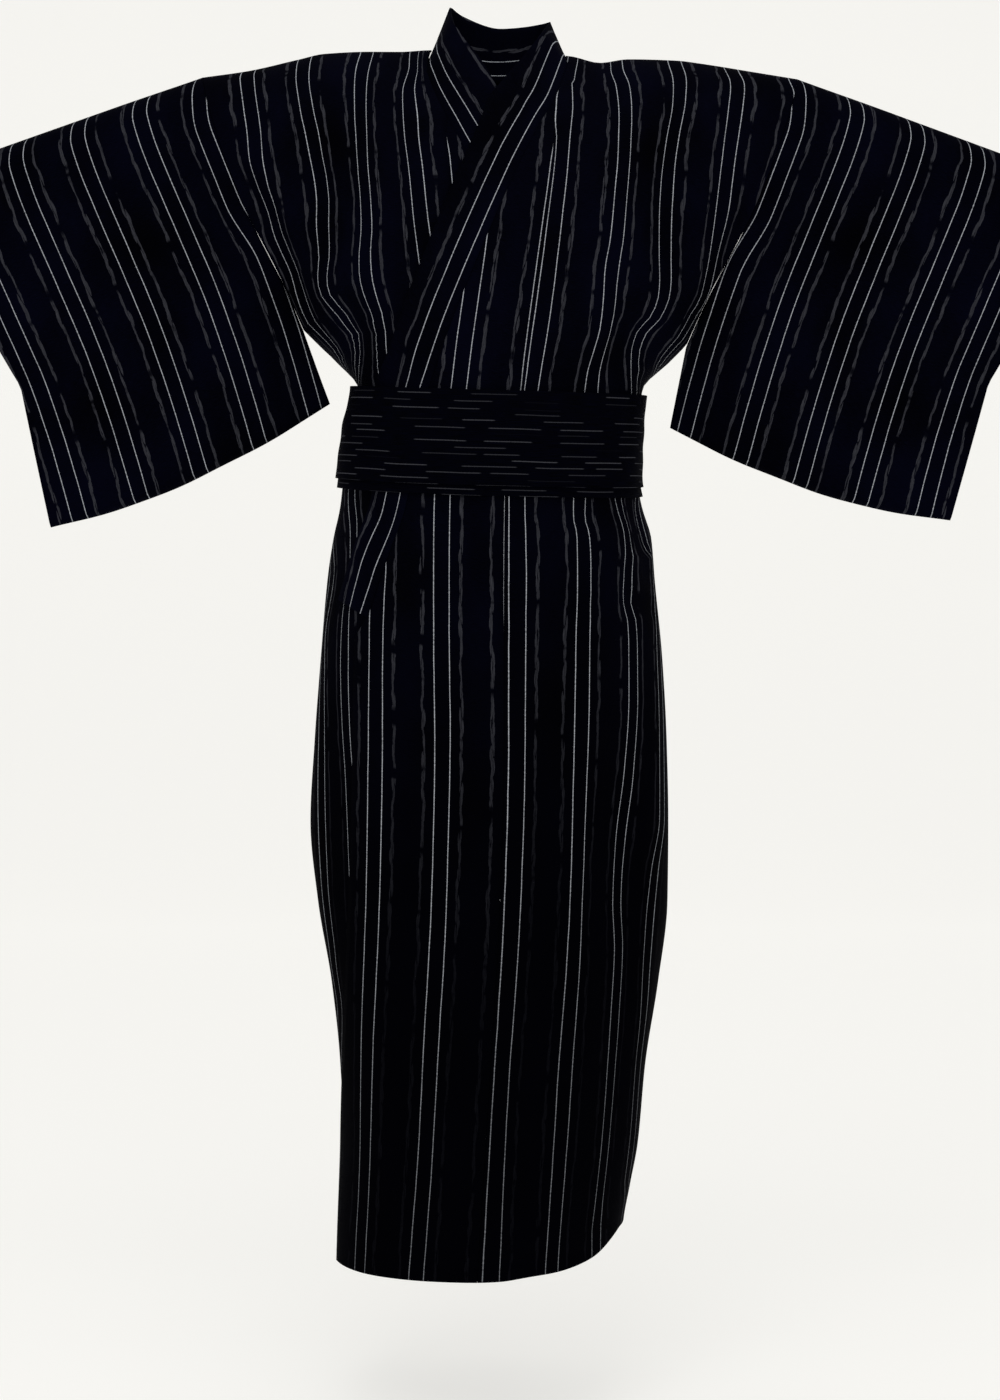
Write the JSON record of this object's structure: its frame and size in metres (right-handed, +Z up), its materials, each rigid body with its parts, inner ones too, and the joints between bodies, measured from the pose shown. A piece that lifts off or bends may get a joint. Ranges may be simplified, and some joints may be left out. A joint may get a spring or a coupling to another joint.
{
  "type": "kimono with sash",
  "caption": "Worn man's summer kimono of striped dark cotton, standing open and hollow with its arms out, held in by a narrow sash knotted behind.",
  "frame": {"origin": "middle of the shoulder line at the neck, where the wearer holds the garment", "axes": "+Z up, front faces -Y, +X towards the wearer's left sleeve"},
  "size_m": [1.3948, 0.2976, 1.4742],
  "materials": {
    "cotton": "matte, near-black navy with thin white lines in pairs and broken grey lines",
    "sash": "matte, near-black with fine grey dashes along it"
  },
  "bodies": {
    "root": {"body_left": "cotton", "body_right": "cotton", "overlap_left": "cotton", "overlap_right": "cotton", "sleeve_left": "cotton", "sleeve_right": "cotton", "collar": "cotton", "sash_band": "sash", "sash_knot": "sash", "sash_end_up": "sash", "sash_end_down": "sash"}
  },
  "joints": []
}
